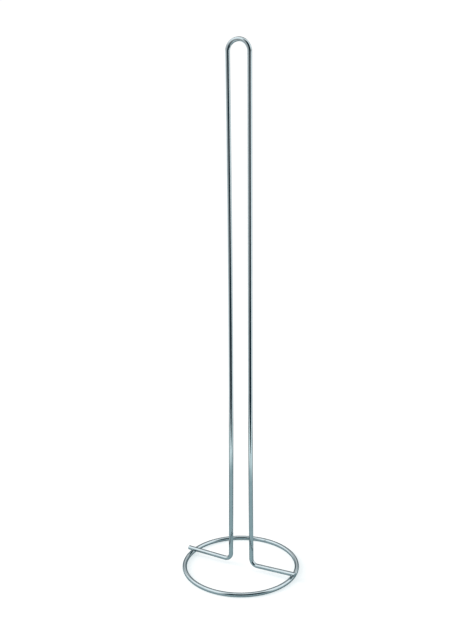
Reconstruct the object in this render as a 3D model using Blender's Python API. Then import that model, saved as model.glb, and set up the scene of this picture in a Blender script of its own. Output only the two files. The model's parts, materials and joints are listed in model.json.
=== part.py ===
"""A free-standing paper towel holder bent from steel wire, as a Blender 4.5 model.

Two wires make it. One is bent round into the base ring, and its ends are butt-welded. The other is a single length
bent into a foot, a tall leg, an arch, a second leg and a second foot. Its feet lie across the top of the ring, and a
resistance weld holds each of them there. The rolls slide down over the two legs.

The model is in metres with +Z up. The origin is the centre of the base ring, on the surface that the ring stands on.
The feet run along X.
"""

import math

import bmesh
import bpy
from mathutils import Matrix, Vector

# Driving dimensions, in metres and radians.
WIRE_DIAMETER = 0.005
RING_RADIUS = 0.065  # to the middle of the wire
OVERALL_HEIGHT = 0.595
LEG_SPACING = 0.0246  # between the middles of the two legs
FOOT_BEND_RADIUS = 0.0075  # to the middle of the wire, where a foot turns up into its leg
FOOT_SLOPE = math.radians(1.5)  # the feet fall this much from the ring towards the legs
FOOT_OVERHANG = 0.002  # how far a foot's cut end stands out past the ring
CUT_EDGE_ROUNDING = 0.0008
CLEARANCE = 0.0003  # between pieces that are welded together
CLOSING_WELD_WIDTH = 0.001  # the ring's butt weld, measured along the wire
FOOT_WELD_RADIUS = 0.0027
FOOT_WELD_WAIST = 0.0022
FOOT_WELD_DEPTH = 0.0034
STRAIGHT_UP = math.pi / 2
HALF_TURN = math.pi
FULL_TURN = 2 * math.pi

# How finely round shapes are cut into flats.
WIRE_SIDES = 16
RING_STEPS = 96
ARCH_STEPS = 32
FOOT_BEND_STEPS = 12
FOOT_WELD_STEPS = 24
CUT_EDGE_STEPS = 3
CUT_EDGE_ANGLE = math.radians(60)  # only the cut ends have edges that turn this sharply
CREASE_ANGLE = math.radians(40)  # edges that turn more than this are creases, and the rest are shaded smooth
MERGE_DISTANCE = 1e-6

# Looks.
CHROME_COLOUR = (0.52, 0.57, 0.59)
CHROME_ROUGHNESS = 0.12
WELD_COLOUR = (0.47, 0.51, 0.53)
WELD_ROUGHNESS = 0.28

# Lengths and heights that follow from the dimensions above.
WIRE_RADIUS = WIRE_DIAMETER / 2
RING_HEIGHT = WIRE_RADIUS
ARCH_RADIUS = LEG_SPACING / 2
FOOT_HEIGHT = RING_HEIGHT + WIRE_DIAMETER + CLEARANCE  # the middle of a foot, where it crosses the ring
FOOT_REACH = RING_RADIUS + WIRE_RADIUS + FOOT_OVERHANG
CORNER_HEIGHT = FOOT_HEIGHT - (RING_RADIUS - ARCH_RADIUS) * math.tan(FOOT_SLOPE)
FOOT_BEND_ANGLE = STRAIGHT_UP + FOOT_SLOPE
FOOT_BEND_SETBACK = FOOT_BEND_RADIUS * math.tan(FOOT_BEND_ANGLE / 2)
FOOT_LENGTH = (FOOT_REACH - ARCH_RADIUS) / math.cos(FOOT_SLOPE) - FOOT_BEND_SETBACK
ARCH_CENTRE_HEIGHT = OVERALL_HEIGHT - WIRE_RADIUS - ARCH_RADIUS
LEG_LENGTH = ARCH_CENTRE_HEIGHT - CORNER_HEIGHT - FOOT_BEND_SETBACK
CLOSING_GAP_ANGLE = (CLOSING_WELD_WIDTH + 2 * CLEARANCE) / RING_RADIUS

X_AXIS = Vector((1, 0, 0))
Y_AXIS = Vector((0, 1, 0))
Z_AXIS = Vector((0, 0, 1))


class BentWire:
    """A round wire, formed as a bending machine forms it: fed straight ahead, or bent about one axis.

    Its section is a polygon whose flats lie at the wire's own radius, and one flat faces along the bending axis.
    """

    def __init__(self, start, heading, bending_axis, radius=WIRE_RADIUS):
        self.tip = Vector(start)
        self.heading = Vector(heading).normalized()
        self.bending_axis = Vector(bending_axis)
        self.bm = bmesh.new()
        across = self.bending_axis.cross(self.heading)
        facing = Matrix((self.bending_axis, across, self.heading)).transposed().to_4x4()
        half_flat = Matrix.Rotation(math.pi / WIRE_SIDES, 4, "Z")
        cut = bmesh.ops.create_circle(
            self.bm,
            segments=WIRE_SIDES,
            radius=radius / math.cos(math.pi / WIRE_SIDES),
            matrix=Matrix.Translation(self.tip) @ facing @ half_flat,
        )
        self.front = list({edge for vert in cut["verts"] for edge in vert.link_edges})

    def keep_front(self, geometry):
        """The edges of the newest section, out of the geometry that an operator returns."""
        fresh = {item for item in geometry if isinstance(item, bmesh.types.BMVert)}
        edges = (item for item in geometry if isinstance(item, bmesh.types.BMEdge))
        self.front = [edge for edge in edges if set(edge.verts) <= fresh]
        return list(fresh)

    def feed(self, length):
        """Runs the wire straight ahead."""
        made = bmesh.ops.extrude_edge_only(self.bm, edges=self.front)
        fresh = self.keep_front(made["geom"])
        bmesh.ops.translate(self.bm, verts=fresh, vec=self.heading * length)
        self.tip += self.heading * length

    def bend(self, angle, radius, steps):
        """Bends the wire round a die. A positive angle turns it by the right-hand rule about the bending axis."""
        towards_die = self.bending_axis.cross(self.heading) * math.copysign(1, angle)
        centre = self.tip + towards_die * radius
        made = bmesh.ops.spin(
            self.bm, geom=self.front, cent=centre, axis=self.bending_axis, angle=angle, steps=steps
        )
        self.keep_front(made["geom_last"])
        turn = Matrix.Rotation(angle, 3, self.bending_axis)
        self.tip = centre + turn @ (self.tip - centre)
        self.heading = turn @ self.heading

    def cut_off(self, name):
        """Closes both cut ends, and returns the wire as an object."""
        ends = [edge for edge in self.bm.edges if edge.is_boundary]
        bmesh.ops.holes_fill(self.bm, edges=ends)
        return new_object(name, self.bm)


def clear_scene():
    for obj in list(bpy.data.objects):
        bpy.data.objects.remove(obj)


def new_object(name, bm):
    """An object made from a bmesh, with its faces pointing out and its round sides shaded smooth."""
    bmesh.ops.recalc_face_normals(bm, faces=bm.faces)
    mesh = bpy.data.meshes.new(name)
    bm.to_mesh(mesh)
    bm.free()
    mesh.shade_smooth()
    mesh.set_sharp_from_angle(angle=CREASE_ANGLE)
    obj = bpy.data.objects.new(name, mesh)
    bpy.context.scene.collection.objects.link(obj)
    return obj


def metal(name, colour, roughness):
    material = bpy.data.materials.new(name)
    material.use_nodes = True
    shader = material.node_tree.nodes["Principled BSDF"]
    shader.inputs["Base Color"].default_value = (*colour, 1.0)
    shader.inputs["Metallic"].default_value = 1.0
    shader.inputs["Roughness"].default_value = roughness
    return material


def make_base_ring(radius=WIRE_RADIUS, name="base_ring"):
    """The base ring: one bend of nearly a full turn, open at the back by the width of its closing weld."""
    start_angle = STRAIGHT_UP + CLOSING_GAP_ANGLE / 2
    start = Matrix.Rotation(start_angle, 3, "Z") @ (X_AXIS * RING_RADIUS) + Z_AXIS * RING_HEIGHT
    heading = Matrix.Rotation(start_angle, 3, "Z") @ Y_AXIS
    wire = BentWire(start, heading, Z_AXIS, radius)
    wire.bend(FULL_TURN - CLOSING_GAP_ANGLE, RING_RADIUS, RING_STEPS)
    return wire.cut_off(name)


def make_ring_closing_weld():
    """The butt weld between the ring's two ends, ground flush with the wire."""
    start = Vector((CLOSING_WELD_WIDTH / 2, RING_RADIUS, RING_HEIGHT))
    weld = BentWire(start, -X_AXIS, Z_AXIS)
    weld.feed(CLOSING_WELD_WIDTH)
    return weld.cut_off("ring_closing_weld")


def make_mast_wire(radius=WIRE_RADIUS, name="mast_wire"):
    """The mast: left foot, left leg, arch, right leg and right foot, all one wire."""
    start = Vector((-FOOT_REACH, 0, FOOT_HEIGHT + (FOOT_REACH - RING_RADIUS) * math.tan(FOOT_SLOPE)))
    heading = Vector((math.cos(FOOT_SLOPE), 0, -math.sin(FOOT_SLOPE)))
    wire = BentWire(start, heading, -Y_AXIS, radius)
    wire.feed(FOOT_LENGTH)
    wire.bend(FOOT_BEND_ANGLE, FOOT_BEND_RADIUS, FOOT_BEND_STEPS)
    wire.feed(LEG_LENGTH)
    wire.bend(-HALF_TURN, ARCH_RADIUS, ARCH_STEPS)
    wire.feed(LEG_LENGTH)
    wire.bend(FOOT_BEND_ANGLE, FOOT_BEND_RADIUS, FOOT_BEND_STEPS)
    wire.feed(FOOT_LENGTH)
    return wire.cut_off(name)


def round_cut_ends(obj):
    """Takes the sharp edge off the wire's cut ends."""
    rounding = obj.modifiers.new("cut_edge_rounding", "BEVEL")
    rounding.width = CUT_EDGE_ROUNDING
    rounding.segments = CUT_EDGE_STEPS
    rounding.limit_method = "ANGLE"
    rounding.angle_limit = CUT_EDGE_ANGLE


def make_foot_weld(name, side, cutters):
    """The collar of weld metal squeezed out around the place where a foot crosses the ring.

    It is a waisted spool, turned about the upright line through the crossing, less the two wires with their clearance.
    """
    half_depth = FOOT_WELD_DEPTH / 2
    profile = ((0, half_depth), (FOOT_WELD_RADIUS, half_depth), (FOOT_WELD_WAIST, 0))
    profile += ((FOOT_WELD_RADIUS, -half_depth), (0, -half_depth))
    bm = bmesh.new()
    verts = [bm.verts.new((radius, 0, height)) for radius, height in profile]
    edges = [bm.edges.new(pair) for pair in zip(verts, verts[1:])]
    bmesh.ops.spin(
        bm,
        geom=verts + edges,
        cent=(0, 0, 0),
        axis=Z_AXIS,
        angle=FULL_TURN,
        steps=FOOT_WELD_STEPS,
        use_merge=True,
    )
    bmesh.ops.remove_doubles(bm, verts=bm.verts, dist=MERGE_DISTANCE)
    weld = new_object(name, bm)
    weld.location = (side * RING_RADIUS, 0, RING_HEIGHT + WIRE_RADIUS + CLEARANCE / 2)
    for cutter in cutters:
        cut = weld.modifiers.new("clear_of_" + cutter.name, "BOOLEAN")
        cut.operation = "DIFFERENCE"
        cut.solver = "EXACT"
        cut.object = cutter
    return weld


def hide_helper(obj):
    """Marks an object as a cutter, which isn't a piece of the holder."""
    obj.hide_render = True
    obj.display_type = "WIRE"
    return obj


def main():
    clear_scene()
    chrome = metal("chrome_plated_wire", CHROME_COLOUR, CHROME_ROUGHNESS)
    weld_metal = metal("plated_weld_metal", WELD_COLOUR, WELD_ROUGHNESS)

    base_ring = make_base_ring()
    closing_weld = make_ring_closing_weld()
    mast_wire = make_mast_wire()
    round_cut_ends(mast_wire)

    swollen = WIRE_RADIUS + CLEARANCE
    cutters = [
        hide_helper(make_base_ring(swollen, "ring_cutter")),
        hide_helper(make_mast_wire(swollen, "mast_cutter")),
    ]
    left_weld = make_foot_weld("left_foot_weld", -1, cutters)
    right_weld = make_foot_weld("right_foot_weld", 1, cutters)

    for wire in (base_ring, mast_wire):
        wire.data.materials.append(chrome)
    for weld in (closing_weld, left_weld, right_weld):
        weld.data.materials.append(weld_metal)


main()
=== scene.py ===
"""The looks of a chrome-plated paper towel holder, bent from two steel wires, in a white studio.

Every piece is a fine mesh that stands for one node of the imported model, and takes its size and
place from it. Lengths are in metres, and +Z is up. The mast and its feet lie in the plane y = 0,
and the base ring lies on z = 0.
"""

import json
import math

import bmesh
import bpy
from mathutils import Matrix, Vector, noise


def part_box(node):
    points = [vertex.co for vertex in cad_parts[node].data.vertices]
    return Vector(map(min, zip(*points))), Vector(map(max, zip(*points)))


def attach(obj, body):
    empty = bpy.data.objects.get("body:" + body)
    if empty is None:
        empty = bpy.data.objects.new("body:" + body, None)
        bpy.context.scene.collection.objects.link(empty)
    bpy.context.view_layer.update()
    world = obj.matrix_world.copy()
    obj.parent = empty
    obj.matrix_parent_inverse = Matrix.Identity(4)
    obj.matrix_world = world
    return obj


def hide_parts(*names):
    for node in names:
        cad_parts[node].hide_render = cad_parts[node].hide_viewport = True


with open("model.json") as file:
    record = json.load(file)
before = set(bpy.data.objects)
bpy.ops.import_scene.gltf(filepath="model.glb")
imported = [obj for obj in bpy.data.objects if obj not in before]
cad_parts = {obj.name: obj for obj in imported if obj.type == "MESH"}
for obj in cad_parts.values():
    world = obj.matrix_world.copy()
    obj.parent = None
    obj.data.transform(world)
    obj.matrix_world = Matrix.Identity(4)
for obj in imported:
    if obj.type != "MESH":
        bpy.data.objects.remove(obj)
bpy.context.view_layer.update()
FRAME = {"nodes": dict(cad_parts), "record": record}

Y_AXIS = Vector((0, 1, 0))
Z_AXIS = Vector((0, 0, 1))
QUARTER_TURN = math.pi / 2
HALF_TURN = math.pi
FULL_TURN = 2 * math.pi

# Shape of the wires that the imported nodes' boxes don't give.
WIRE_SIDES = 48
TURNS = [FULL_TURN * side / WIRE_SIDES for side in range(WIRE_SIDES)]  # round a wire or a weld
FOOT_STEPS = 24
FOOT_BEND_RADIUS = 0.0075
FOOT_BEND_OVAL = 0.05  # the share of its thickness that the wire loses across a bend
FOOT_BEND_STEPS = 24
LEG_STEPS = 60
ARCH_OVAL = 0.025
ARCH_STEPS = 48
RING_STEPS = 240
RING_END_LENGTH = 0.0003  # short steps beside the ring's weld keep the shading true there
RING_END_STEPS = 2
RING_NECK = 0.00005  # how much thinner the ring is where its weld begins

# How far each leg stands to the right of true, from the set that a long bent wire keeps: half-way
# up, at its top and at its bottom. The last two fade out along the leg with these powers.
LEFT_LEG_SET = (0.0011, -0.0009, -0.0006)
RIGHT_LEG_SET = (0.00015, -0.0003, 0.0017)
TOP_SET_POWER = 2
BOTTOM_SET_POWER = 5
ARCH_SINK = 0.0006  # how far the arch ends up below true

# The sheared ends of the feet.
END_RELIEF = 0.00001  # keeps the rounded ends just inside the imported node's box
CUT_ROUNDING = 0.0008
CUT_ROLLOVER = 0.35  # how much more rounded the side is where the shear went in
CUT_ROLLOVER_TURN = 0.6  # how far that side is turned out of the mast's plane, in radians
CUT_DOME = 0.00012
CUT_RIM_STEPS = 6
CUT_FACE_SHARES = (0.75, 0.5, 0.25)  # the radii of the face's loops, as shares of its own

# The welds. Their lumps have a height, as a share, and scales round, up or along the weld.
WELD_SINK = 0.00006  # how far a weld's edges run in under the wires' surfaces
WELD_REACH = 0.0023
WELD_WAIST = 0.0016
WELD_LUMPS = 0.06
WELD_LUMPS_ROUND = 1.5
WELD_LUMPS_UP = 2
WELD_LUMPS_OFFSET = 5  # makes the two foot welds' lumps differ
WELD_STEPS = 14
BEAD_LENGTH = 0.0026
BEAD_HEIGHT = 0.00014
BEAD_CROWN_POWER = 0.7  # less than 1 makes the bead's crown fuller than a cosine
BEAD_LUMPS = 0.5
BEAD_LUMPS_ROUND = 2
BEAD_LUMPS_ALONG = 1500
BEAD_STEPS = 16

# The finish. Noise scales are per metre, and depths are in millimetres.
MILLIMETRE = 0.001
NOISE_SPAN = (0.3, 0.7)  # most of a noise lies in this range
EDGE_TINT = (0.55, 0.59, 0.605, 1.0)  # chromium mirrors less than most metals at a glancing angle
WIRE_COLOURS = ((0.50, 0.555, 0.575), (0.55, 0.595, 0.61))
HAZE_SCALE = 140
HAZE_SPAN = (0.35, 0.75)
HAZE_ROUGHNESS = (0.055, 0.1)
LINE_SCALE = 2600
LINE_STRETCH = 0.02  # the lines' scale along the wire, against that across it
LINE_SPAN = (0.3, 0.8)
LINE_ROUGHNESS = (0.0, 0.05)
LINE_DEPTH = 0.0008
PEEL_SCALE = 900
PEEL_DEPTH = 0.0012
WELD_COLOURS = ((0.40, 0.44, 0.455), (0.50, 0.54, 0.555))
WELD_ROUGHNESS = (0.14, 0.3)
PITTING_SCALE = 1300
PITTING_DEPTH = 0.03

# The camera. An azimuth is turned from -Y towards +X, where the camera stands.
CAMERA_AZIMUTH = math.radians(27.72)
CAMERA_PITCH = math.radians(16.27)
CAMERA_ROLL = math.radians(-0.24)
CAMERA_DISTANCE = 1.0621  # along the floor
CAMERA_HEIGHT = 0.6088
CAMERA_SIDESTEP = -0.0032
CAMERA_LENS = 57.58
CAMERA_SENSOR = 36
CAMERA_CLIP_START = 0.05
CAMERA_CLIP_END = 50

# The table. The wires mirror its grey round the ring, painted light near its front edge and painted
# shade behind.
TABLE_FRONT = 0.34  # the table ends this far from the mast, towards the camera
TABLE_REACH = 0.42  # and this far from it on its other sides
TABLE_MIRRORED = (0.368, 0.47, 0.49)
# painted light: the grey the wires mirror, lightened towards the table's front edge
TABLE_PAINTED_LIGHT_IN_FRONT = (0.84, 0.945, 0.95)
# painted shade: the grey the wires mirror, darkened behind the ring
TABLE_PAINTED_SHADE_BEHIND = (0.134, 0.169, 0.176)
TABLE_PAINTED_LIGHT_SPAN = (0.25, 0.33)  # how far from the mast the painted light near the front edge comes in
TABLE_PAINTED_SHADE_SPAN = (0.08, 0.14)  # and the painted shade behind
TABLE_MIDDLE_SPAN = (-0.1, 0.02)  # towards the camera from the mast, from back to front
TABLE_BLEACH = (0.625, 0.717, 0.74)  # the even white in which it is seen, before its lamp's light
TABLE_SHADOWING = (0.38, 0.30, 0.28)  # how it takes up that light, and so how deep shadows are
TABLE_LAMP_AZIMUTH = math.radians(-98)  # from the camera's own, towards its right
TABLE_LAMP_ELEVATION = math.radians(27)
TABLE_LAMP_WIDTH = math.radians(42)
TABLE_LAMP_STRENGTH = 2.5

# The tent round the table. Its spans are in sines of elevation.
BACKDROP = (1.05, 1.05, 1.05)
TENT_TINT = (0.94, 1.0, 1.02)
TENT_FLOOR = 1.0
TENT_FLOOR_SPAN = (-0.06, 0.1)  # where the floor turns into the wall
TENT_WALL = 0.8
TENT_ROOF = 1.15
TENT_ROOF_SPAN = (0.82, 0.985)  # where the wall turns into the roof
OPENING_COLOUR = (0.01, 0.034, 0.046)


def patch(azimuth, widths, lower, upper):
    """A soft-edged patch of the tent, in degrees.

    It has its middle's azimuth, from the camera's own towards its right, the half widths where it
    is full and where it ends, and the elevations between which it comes in at its lower edge and
    goes out at its upper edge.
    """
    return {"azimuth": azimuth, "widths": widths, "lower": lower, "upper": upper}


BELOW = (-88, -80)
TENT_PATCHES = (  # each after its brightness
    (0.55, patch(-70, (25, 42), BELOW, (-3, 9))),  # the floor on the left, in shade
    (1.65, patch(-137, (22, 42), BELOW, (-4, 6))),  # the floor at the back on the left, lit
    (0.3, patch(-45, (35, 50), BELOW, (-34, -25))),  # the floor at the front left, in deep shade
    (1.5, patch(66, (8, 30), BELOW, (-3, 6))),  # the floor beside the opening, on the right
    (1.45, patch(-90, (44, 66), (8, 30), (60, 84))),  # the left soft box
    (1.4, patch(98, (42, 66), (2, 22), (62, 84))),  # the right soft box
    (0.12, patch(178, (18, 50), (-3, 3), (58, 78))),  # the unlit back wall
    (0.85, patch(172, (26, 55), (19, 26), (32, 42))),  # a strip light on it
)
OPENING_PATCHES = (
    patch(11, (30, 56), (-3, 3), (54, 74)),
    patch(8, (28, 51), (-34, -27), (3, 9)),
    patch(5, (41, 61), (-34, -27), (-18, -10)),
    patch(38, (40, 60), BELOW, (-34, -25)),
)


def measure_holder():
    """The holder's driving sizes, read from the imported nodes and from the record's roll seats."""
    ring_low, ring_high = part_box("base_ring")
    mast_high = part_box("mast_wire")[1]
    radius = (ring_high.z - ring_low.z) / 2
    mast_points = [vertex.co for vertex in FRAME["nodes"]["mast_wire"].data.vertices]
    legs_outside = max(point.x for point in mast_points if point.z > mast_high.z / 2)
    mounts = {mount["name"]: mount for mount in FRAME["record"]["mounts"]}
    seat = mounts["left_roll_seat"]
    seat_normal = Vector(seat["axis"]).normalized()
    return {
        "wire_radius": radius,
        "ring_radius": ring_high.x - radius,
        "leg_offset": legs_outside - radius,
        "height": mast_high.z,
        "foot_reach": mast_high.x,
        "foot_slope": math.atan2(seat_normal.x, seat_normal.z),
        "point_in_foot": Vector(seat["pos_m"]) - seat_normal * radius,
    }


HOLDER = measure_holder()
WIRE_RADIUS = HOLDER["wire_radius"]
RING_RADIUS = HOLDER["ring_radius"]
LEG_OFFSET = HOLDER["leg_offset"]
FOOT_SLOPE = HOLDER["foot_slope"]


def foot_height(x):
    """The height of a foot's middle line, at a distance x from the plane between the legs."""
    known = HOLDER["point_in_foot"]
    return known.z + (abs(x) - abs(known.x)) * math.tan(FOOT_SLOPE)


# -------------------------------------------------------------------------------------------------
# Wires


def new_piece(name, bm):
    """A smooth object made from a bmesh, with its faces pointing out."""
    bmesh.ops.recalc_face_normals(bm, faces=bm.faces)
    mesh = bpy.data.meshes.new(name)
    bm.to_mesh(mesh)
    bm.free()
    mesh.shade_smooth()
    piece = bpy.data.objects.new(name, mesh)
    bpy.context.scene.collection.objects.link(piece)
    return piece


def skin(name, sections):
    """A closed mesh skinned over sections.

    Each section is a loop of (point, unbent point), or just one of them at an end. An unbent point
    is where that point would be if the wire were straight. It is kept as an attribute, so that the
    lines in a material follow the wire round its bends.
    """
    bm = bmesh.new()
    unbent = bm.verts.layers.float_vector.new("unbent")
    loops = []
    for section in sections:
        loop = []
        for point, straight_point in section:
            vert = bm.verts.new(point)
            vert[unbent] = straight_point
            loop.append(vert)
        loops.append(loop)
    for loop, following in zip(loops, loops[1:]):
        count = max(len(loop), len(following))
        for i in range(count):
            j = (i + 1) % count
            corners = (loop[i % len(loop)], loop[j % len(loop)])
            corners += (following[j % len(following)], following[i % len(following)])
            bm.faces.new(tuple(dict.fromkeys(corners)))
    return new_piece(name, bm)


class BentWire:
    """A wire's middle line, fed straight ahead or bent round a die, and kept as sections."""

    def __init__(self, start, heading, bending_axis):
        self.tip = Vector(start)
        self.heading = Vector(heading).normalized()
        self.bending_axis = bending_axis
        self.length = 0.0
        self.sections = []

    def section(self, rim=lambda turn: (0.0, 0.0), oval=0.0):
        """A loop round the wire at its tip.

        At each turn round the wire, rim gives how far the loop is inset from the wire's full
        radius, and how far it is ahead of the tip. An oval wire is wider across the bend's plane,
        by a third of what it loses in it.
        """
        across = self.bending_axis.cross(self.heading)
        loop = []
        for turn in TURNS:
            inset, ahead = rim(turn)
            radius = WIRE_RADIUS - inset
            along_axis = math.cos(turn) * radius * (1 + oval / 3)
            in_plane = math.sin(turn) * radius * (1 - oval)
            offset = self.bending_axis * along_axis + across * in_plane + self.heading * ahead
            straight = Vector((along_axis, in_plane, self.length + ahead))
            loop.append((self.tip + offset, straight))
        return loop

    def mark(self, **shape):
        """Keeps a section at the tip."""
        self.sections.append(self.section(**shape))

    def feed(self, length, steps):
        """Runs the wire straight ahead."""
        for _ in range(steps):
            self.tip += self.heading * (length / steps)
            self.length += length / steps
            self.mark()

    def bend(self, angle, radius, steps, oval=0.0):
        """Bends the wire, which is pressed oval in the bend, less towards both ends of it."""
        centre = self.tip + self.bending_axis.cross(self.heading) * math.copysign(radius, angle)
        turn = Matrix.Rotation(angle / steps, 3, self.bending_axis)
        for step in range(1, steps + 1):
            self.tip = centre + turn @ (self.tip - centre)
            self.heading = turn @ self.heading
            self.length += abs(angle) * radius / steps
            self.mark(oval=oval * math.sin(math.pi * step / steps))

    def sheared_end(self, direction):
        """A sheared end at the tip, which looks along the wire's heading (1) or against it (-1).

        Its rim is rounded, and rolled over more on one side. Its face is slightly domed.
        """
        loops = []
        for step in range(CUT_RIM_STEPS + 1):
            angle = QUARTER_TURN * step / CUT_RIM_STEPS

            def rim(turn, inwards=1 - math.cos(angle), onwards=math.sin(angle) - 1):
                rollover = CUT_ROLLOVER * math.sin(turn - CUT_ROLLOVER_TURN)
                rounding = CUT_ROUNDING * (1 + rollover)
                return rounding * inwards, direction * (rounding * onwards - CUT_DOME)

            loops.append(self.section(rim=rim))
        face_edge = loops[-1]
        middle = self.tip.copy()
        middle_unbent = Vector((0, 0, self.length))
        flat_middle = middle - self.heading * direction * CUT_DOME
        for share in CUT_FACE_SHARES:
            rise = direction * CUT_DOME * (1 - share * share)
            loop = []
            for point, straight in face_edge:
                face_point = flat_middle.lerp(point, share) + self.heading * rise
                loop.append((face_point, middle_unbent.lerp(straight, share)))
            loops.append(loop)
        loops.append([(middle, middle_unbent)])
        return loops


def leg_set(side, share):
    """How far a leg stands to the right of true, at a share of its height."""
    bow, lean, kick = LEFT_LEG_SET if side < 0 else RIGHT_LEG_SET
    bowed = bow * math.sin(math.pi * share)
    return bowed + lean * share**TOP_SET_POWER + kick * (1 - share) ** BOTTOM_SET_POWER


def set_legs(sections):
    """Gives each leg its set, which fades out over the arch and along the feet."""
    for section in sections:
        middle = sum((point for point, _ in section), Vector()) / len(section)
        in_arch = 1 - min(1.0, abs(middle.x) / LEG_OFFSET)
        past_leg = (abs(middle.x) - LEG_OFFSET) / (RING_RADIUS - LEG_OFFSET)
        in_foot = min(1.0, max(0.0, past_leg))
        share = middle.z / HOLDER["height"]
        shift = (1 - in_arch) * (1 - in_foot) * leg_set(middle.x, share)
        for point, _ in section:
            point.x += shift
            point.z -= ARCH_SINK * share**TOP_SET_POWER


def make_mast():
    """The mast: left foot, left leg, arch, right leg and right foot, all one wire."""
    reach = HOLDER["foot_reach"] - END_RELIEF
    end_height = foot_height(reach)
    bend_angle = QUARTER_TURN + FOOT_SLOPE
    setback = FOOT_BEND_RADIUS * math.tan(bend_angle / 2)
    foot_length = (reach - LEG_OFFSET) / math.cos(FOOT_SLOPE) - setback
    arch_start = HOLDER["height"] - WIRE_RADIUS - LEG_OFFSET
    leg_length = arch_start - foot_height(LEG_OFFSET) - setback
    start = Vector((-reach, 0, end_height))
    heading = Vector((math.cos(FOOT_SLOPE), 0, -math.sin(FOOT_SLOPE)))
    wire = BentWire(start, heading, -Y_AXIS)
    wire.sections += reversed(wire.sheared_end(-1))
    wire.feed(foot_length, FOOT_STEPS)
    wire.bend(bend_angle, FOOT_BEND_RADIUS, FOOT_BEND_STEPS, FOOT_BEND_OVAL)
    wire.feed(leg_length, LEG_STEPS)
    wire.bend(-HALF_TURN, LEG_OFFSET, ARCH_STEPS, ARCH_OVAL)
    wire.feed(leg_length, LEG_STEPS)
    wire.bend(bend_angle, FOOT_BEND_RADIUS, FOOT_BEND_STEPS, FOOT_BEND_OVAL)
    wire.feed(foot_length, FOOT_STEPS)
    wire.sections.pop()
    wire.sections += wire.sheared_end(1)
    set_legs(wire.sections)
    return skin("plated_mast_wire", wire.sections)


def make_ring():
    """The base ring, from one side of its closing weld round to the other."""
    weld_low, weld_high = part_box("ring_closing_weld")
    gap_angle = (weld_high.x - weld_low.x) / RING_RADIUS
    start_angle = QUARTER_TURN + gap_angle / 2
    outward = Vector((math.cos(start_angle), math.sin(start_angle), 0))
    start = outward * RING_RADIUS + Z_AXIS * WIRE_RADIUS
    wire = BentWire(start, Z_AXIS.cross(outward), Z_AXIS)
    wire.sections.append([(wire.tip.copy(), Vector((0, 0, wire.length)))])
    wire.mark(rim=lambda turn: (RING_NECK, 0.0))
    end_angle = RING_END_LENGTH / RING_RADIUS
    wire.bend(end_angle, RING_RADIUS, RING_END_STEPS)
    wire.bend(FULL_TURN - gap_angle - 2 * end_angle, RING_RADIUS, RING_STEPS)
    wire.bend(end_angle, RING_RADIUS, RING_END_STEPS)
    wire.sections.pop()
    wire.mark(rim=lambda turn: (RING_NECK, 0.0))
    wire.sections.append([(wire.tip.copy(), Vector((0, 0, wire.length)))])
    return skin("plated_base_ring", wire.sections)


# -------------------------------------------------------------------------------------------------
# Welds


def weld_section(points):
    """A weld's section for skin(). A weld isn't bent, so a point is its own unbent point."""
    return [(point, point) for point in points]


def make_closing_weld():
    """The butt weld's bead round the ring.

    It is ground off flush below and outside, and left proud elsewhere.
    """
    sections = []
    for step in range(BEAD_STEPS + 1):
        at_end = step in (0, BEAD_STEPS)
        along = -BEAD_LENGTH / 2 + BEAD_LENGTH * step / BEAD_STEPS
        crown = 0.0 if at_end else math.cos(math.pi * along / BEAD_LENGTH) ** BEAD_CROWN_POWER
        sink = WELD_SINK if at_end else WELD_SINK / 2
        angle = QUARTER_TURN - along / RING_RADIUS
        outward = Vector((math.cos(angle), math.sin(angle), 0))
        middle = outward * RING_RADIUS + Z_AXIS * WIRE_RADIUS
        left_proud = (Z_AXIS - outward).normalized()
        points = []
        for turn in TURNS:
            x = math.cos(turn)
            y = math.sin(turn)
            out = outward * x + Z_AXIS * y
            place = (along * BEAD_LUMPS_ALONG, x * BEAD_LUMPS_ROUND, y * BEAD_LUMPS_ROUND)
            lump = 1 + BEAD_LUMPS * noise.noise(Vector(place))
            height = BEAD_HEIGHT * crown * max(0.0, left_proud.dot(out)) * lump
            points.append(middle + out * (WIRE_RADIUS - sink + height))
        if step == 0:
            sections.append(weld_section([middle]))
        sections.append(weld_section(points))
    sections.append(weld_section([middle]))
    return skin("closing_weld_bead", sections)


def make_foot_weld(name, node):
    """The collar of weld metal that fills the hollow round a foot's crossing with the ring."""
    low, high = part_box(node)
    crossing = (low + high) / 2
    offset = math.copysign(WELD_LUMPS_OFFSET, crossing.x)
    sections = []
    for step in range(WELD_STEPS + 1):
        share = step / WELD_STEPS
        flare = (2 * share - 1) ** 2
        points = []
        for turn in TURNS:
            x = math.cos(turn)
            y = math.sin(turn)
            place = (x * WELD_LUMPS_ROUND + offset, y * WELD_LUMPS_ROUND, share * WELD_LUMPS_UP)
            lump = 1 + WELD_LUMPS * noise.noise(Vector(place))
            waist = WELD_WAIST * lump
            reach = waist + (WELD_REACH * lump - waist) * flare
            across_ring = math.hypot(crossing.x + x * reach, y * reach) - RING_RADIUS
            ring_top = WIRE_RADIUS + math.sqrt(WIRE_RADIUS**2 - across_ring**2)
            foot_middle = foot_height(crossing.x + x * reach)
            foot_bottom = foot_middle - math.sqrt(WIRE_RADIUS**2 - (y * reach) ** 2)
            height = (ring_top - WELD_SINK) * (1 - share) + (foot_bottom + WELD_SINK) * share
            points.append(Vector((crossing.x + x * reach, y * reach, height)))
        sections.append(weld_section(points))
    bottom = Vector((crossing.x, 0, 2 * WIRE_RADIUS - 2 * WELD_SINK))
    top = Vector((crossing.x, 0, foot_height(crossing.x) - WIRE_RADIUS + 2 * WELD_SINK))
    sections.insert(0, weld_section([bottom]))
    sections.append(weld_section([top]))
    return skin(name, sections)


# -------------------------------------------------------------------------------------------------
# Materials


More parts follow.
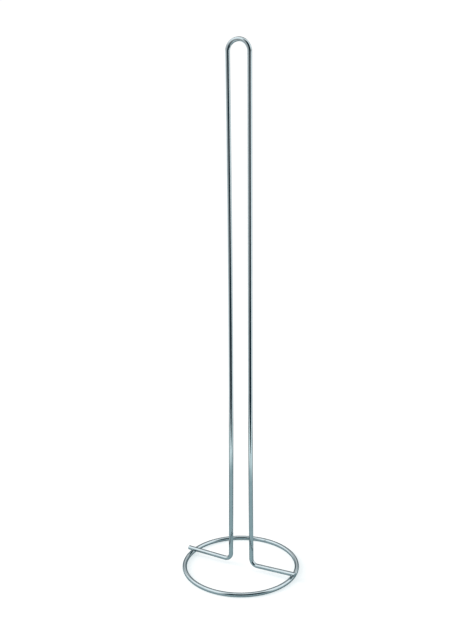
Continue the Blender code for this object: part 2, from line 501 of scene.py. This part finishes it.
class Nodes:
    """A short way to write a shader's nodes, by one call for each node and its inputs."""

    def __init__(self, tree):
        self.tree = tree
        tree.nodes.clear()

    def add(self, kind, inputs=None, **settings):
        """A node with its settings, and with a value or a link on each of the given inputs."""
        node = self.tree.nodes.new(kind)
        for name, value in settings.items():
            setattr(node, name, value)
        for socket, value in (inputs or {}).items():
            if isinstance(value, bpy.types.NodeSocket):
                self.tree.links.new(value, node.inputs[socket])
            else:
                node.inputs[socket].default_value = value
        return node

    def noise(self, vector, scale, detail, roughness):
        inputs = {"Vector": vector, "Scale": scale, "Detail": detail, "Roughness": roughness}
        return self.add("ShaderNodeTexNoise", inputs).outputs[0]

    def remap(self, value, span, new_span=(0, 1)):
        """A value eased from one span to another."""
        inputs = {"Value": value, "From Min": span[0], "From Max": span[1]}
        inputs.update({"To Min": new_span[0], "To Max": new_span[1]})
        node = self.add("ShaderNodeMapRange", inputs, interpolation_type="SMOOTHSTEP")
        return node.outputs["Result"]

    def math(self, operation, first, second):
        return self.add("ShaderNodeMath", {0: first, 1: second}, operation=operation).outputs[0]

    def vector(self, operation, first, second=(0, 0, 0), output="Vector"):
        inputs = {0: first, "Scale" if operation == "SCALE" else 1: second}
        return self.add("ShaderNodeVectorMath", inputs, operation=operation).outputs[output]

    def mix(self, factor, first, second):
        """A colour from the first of two, at factor 0, to the second. Each is a socket or RGB."""
        first, second = (
            value if isinstance(value, bpy.types.NodeSocket) else (*value, 1.0)
            for value in (first, second)
        )
        inputs = {0: factor, 6: first, 7: second}  # this node's sockets for colours
        return self.add("ShaderNodeMix", inputs, data_type="RGBA").outputs[2]


def new_material(name):
    """A new material, and its nodes."""
    material = bpy.data.materials.new(name)
    material.use_nodes = True
    return material, Nodes(material.node_tree)


def finish_chrome(nodes, colour, roughness, bump):
    """A mirror-like metal shader, from the sockets of its colour, roughness and bump height."""
    bump_inputs = {"Height": bump, "Distance": MILLIMETRE, "Strength": 1.0}
    normal = nodes.add("ShaderNodeBump", bump_inputs).outputs["Normal"]
    inputs = {"Base Color": colour, "Roughness": roughness, "Normal": normal}
    inputs["Metallic"] = 1.0
    inputs["Specular Tint"] = EDGE_TINT
    shader = nodes.add("ShaderNodeBsdfPrincipled", inputs)
    nodes.add("ShaderNodeOutputMaterial", {"Surface": shader.outputs["BSDF"]})


def chrome_wire_material():
    """Bright chrome over drawn wire: faint drawing lines along the wire, and an uneven haze."""
    material, nodes = new_material("chrome_plated_wire")
    unbent = nodes.add("ShaderNodeAttribute", attribute_name="unbent").outputs["Vector"]
    place = nodes.add("ShaderNodeTexCoord").outputs["Object"]
    drawn = nodes.vector("MULTIPLY", unbent, (1.0, 1.0, LINE_STRETCH))
    lines = nodes.noise(drawn, LINE_SCALE, detail=3.0, roughness=0.6)
    haze = nodes.noise(place, HAZE_SCALE, detail=3.0, roughness=0.55)
    peel = nodes.noise(place, PEEL_SCALE, detail=1.0, roughness=0.4)
    colour = nodes.mix(nodes.remap(haze, NOISE_SPAN), *WIRE_COLOURS)
    rough_haze = nodes.remap(haze, HAZE_SPAN, HAZE_ROUGHNESS)
    rough_lines = nodes.remap(lines, LINE_SPAN, LINE_ROUGHNESS)
    roughness = nodes.math("ADD", rough_haze, rough_lines)
    line_bump = nodes.math("MULTIPLY", lines, LINE_DEPTH)
    peel_bump = nodes.math("MULTIPLY", peel, PEEL_DEPTH)
    finish_chrome(nodes, colour, roughness, nodes.math("ADD", line_bump, peel_bump))
    return material


def weld_material():
    """Chrome over weld metal: duller, and pitted with small lumps."""
    material, nodes = new_material("plated_weld_metal")
    place = nodes.add("ShaderNodeTexCoord").outputs["Object"]
    pitting = nodes.noise(place, PITTING_SCALE, detail=4.0, roughness=0.6)
    colour = nodes.mix(nodes.remap(pitting, NOISE_SPAN), *WELD_COLOURS)
    roughness = nodes.remap(pitting, NOISE_SPAN, WELD_ROUGHNESS)
    finish_chrome(nodes, colour, roughness, nodes.math("MULTIPLY", pitting, PITTING_DEPTH))
    return material


# -------------------------------------------------------------------------------------------------
# Studio


def direction(azimuth, elevation):
    """The unit vector from the holder towards an azimuth and an elevation."""
    flat = Vector((math.sin(azimuth), -math.cos(azimuth), 0)) * math.cos(elevation)
    return flat + Z_AXIS * math.sin(elevation)


def make_table():
    """The white table, seen bleached. The wires mirror its pale grey, with painted light at the
    front and painted shade behind.
    """
    front = direction(CAMERA_AZIMUTH, 0)
    side = front.cross(Z_AXIS)
    bm = bmesh.new()
    corners = [(across, TABLE_FRONT) for across in (-TABLE_REACH, TABLE_REACH)]
    corners += [(across, -TABLE_REACH) for across in (TABLE_REACH, -TABLE_REACH)]
    bm.faces.new([bm.verts.new(side * across + front * ahead) for across, ahead in corners])
    table = new_piece("studio_table", bm)
    if table.data.polygons[0].normal.z < 0:
        table.data.flip_normals()
    material, nodes = new_material("studio_table")
    place = nodes.add("ShaderNodeTexCoord").outputs["Object"]
    ahead = nodes.vector("DOT_PRODUCT", place, front, output="Value")
    reach = nodes.vector("LENGTH", place, output="Value")
    in_front = nodes.remap(ahead, TABLE_MIDDLE_SPAN)
    # painted light: lighter near the front edge, in the colour the wires mirror
    painted_light_share = nodes.math("MULTIPLY", nodes.remap(reach, TABLE_PAINTED_LIGHT_SPAN), in_front)
    behind = nodes.remap(ahead, TABLE_MIDDLE_SPAN[::-1])
    # painted shade: darker behind the ring, in the colour the wires mirror
    painted_shade_share = nodes.math("MULTIPLY", nodes.remap(reach, TABLE_PAINTED_SHADE_SPAN), behind)
    mirrored = nodes.mix(painted_light_share, TABLE_MIRRORED, TABLE_PAINTED_LIGHT_IN_FRONT)
    mirrored = nodes.mix(painted_shade_share, mirrored, TABLE_PAINTED_SHADE_BEHIND)
    seen = nodes.add("ShaderNodeLightPath").outputs["Is Camera Ray"]
    colour = nodes.mix(seen, mirrored, TABLE_SHADOWING)
    lit = nodes.add("ShaderNodeBsdfDiffuse", {"Color": colour}).outputs[0]
    bleach_inputs = {"Color": (*TABLE_BLEACH, 1.0), "Strength": seen}
    bleach = nodes.add("ShaderNodeEmission", bleach_inputs).outputs[0]
    shader = nodes.add("ShaderNodeAddShader", {0: lit, 1: bleach})
    nodes.add("ShaderNodeOutputMaterial", {"Surface": shader.outputs[0]})
    table.data.materials.append(material)
    return table


def share_in_patch(nodes, ray, height, azimuth, widths, lower, upper):
    """How far a ray lies inside a patch of the tent, from 0 to 1. Its height is its Z."""
    flat_ray = nodes.vector("NORMALIZE", nodes.vector("MULTIPLY", ray, (1, 1, 0)))
    middle = direction(CAMERA_AZIMUTH + math.radians(azimuth), 0)
    facing = nodes.vector("DOT_PRODUCT", flat_ray, middle, output="Value")
    full, end = (math.cos(math.radians(width)) for width in widths)
    across = nodes.remap(facing, (end, full))
    above = nodes.remap(height, [math.sin(math.radians(angle)) for angle in lower])
    below = nodes.remap(height, [math.sin(math.radians(angle)) for angle in upper], (1, 0))
    return nodes.math("MULTIPLY", across, nodes.math("MULTIPLY", above, below))


def tinted(brightness):
    """The tent's cloth at a brightness."""
    return tuple(brightness * part for part in TENT_TINT)


def light_studio():
    """A white tent lit from outside, with a dark opening on the camera's side.

    The backdrop behind the holder is seen plain white.
    """
    world = bpy.data.worlds.new("studio")
    world.use_nodes = True
    bpy.context.scene.world = world
    nodes = Nodes(world.node_tree)
    ray = nodes.add("ShaderNodeTexCoord").outputs["Generated"]
    height = nodes.add("ShaderNodeSeparateXYZ", {0: ray}).outputs["Z"]
    wall = nodes.remap(height, TENT_FLOOR_SPAN, (TENT_FLOOR, TENT_WALL))
    roof = nodes.remap(height, TENT_ROOF_SPAN)
    colour = nodes.mix(roof, nodes.vector("SCALE", TENT_TINT, wall), tinted(TENT_ROOF))
    for brightness, place in TENT_PATCHES:
        share = share_in_patch(nodes, ray, height, **place)
        colour = nodes.mix(share, colour, tinted(brightness))
    for place in OPENING_PATCHES:
        share = share_in_patch(nodes, ray, height, **place)
        colour = nodes.mix(share, colour, OPENING_COLOUR)
    seen = nodes.add("ShaderNodeLightPath").outputs["Is Camera Ray"]
    colour = nodes.mix(seen, colour, BACKDROP)
    background = nodes.add("ShaderNodeBackground", {"Color": colour})
    nodes.add("ShaderNodeOutputWorld", {"Surface": background.outputs[0]})


def light_table(table):
    """A broad lamp on the left, for the wires' soft shadows. It lights the table alone."""
    data = bpy.data.lights.new("table_lamp", "SUN")
    data.energy = TABLE_LAMP_STRENGTH
    data.angle = TABLE_LAMP_WIDTH
    lamp = bpy.data.objects.new("table_lamp", data)
    bpy.context.scene.collection.objects.link(lamp)
    towards = direction(CAMERA_AZIMUTH + TABLE_LAMP_AZIMUTH, TABLE_LAMP_ELEVATION)
    lamp.matrix_world = towards.to_track_quat("Z", "Y").to_matrix().to_4x4()
    lit = bpy.data.collections.new("lit_by_table_lamp")
    lit.objects.link(table)
    lamp.light_linking.receiver_collection = lit


def place_camera():
    """The camera, a little above the holder's top and looking down at it."""
    data = bpy.data.cameras.new("studio_camera")
    data.lens = CAMERA_LENS
    data.sensor_width = CAMERA_SENSOR
    data.clip_start = CAMERA_CLIP_START
    data.clip_end = CAMERA_CLIP_END
    camera = bpy.data.objects.new("studio_camera", data)
    bpy.context.scene.collection.objects.link(camera)
    swing = Matrix.Rotation(CAMERA_AZIMUTH, 4, "Z")
    place = Matrix.Translation((CAMERA_SIDESTEP, -CAMERA_DISTANCE, CAMERA_HEIGHT))
    tilt = Matrix.Rotation(QUARTER_TURN - CAMERA_PITCH, 4, "X")
    roll = Matrix.Rotation(CAMERA_ROLL, 4, "Z")
    camera.matrix_world = swing @ place @ (tilt @ roll)
    bpy.context.scene.camera = camera


# -------------------------------------------------------------------------------------------------
# The scene


def stand_for(piece, node, material):
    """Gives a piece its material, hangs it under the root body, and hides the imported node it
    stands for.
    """
    piece.data.materials.append(material)
    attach(piece, "root")
    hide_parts(node)


place_camera()
light_studio()
light_table(make_table())

wire_chrome = chrome_wire_material()
weld_chrome = weld_material()
stand_for(make_mast(), "mast_wire", wire_chrome)
stand_for(make_ring(), "base_ring", wire_chrome)
stand_for(make_closing_weld(), "ring_closing_weld", weld_chrome)
left_collar = make_foot_weld("left_weld_collar", "left_foot_weld")
stand_for(left_collar, "left_foot_weld", weld_chrome)
right_collar = make_foot_weld("right_weld_collar", "right_foot_weld")
stand_for(right_collar, "right_foot_weld", weld_chrome)

bpy.context.scene.view_settings.view_transform = "Standard"
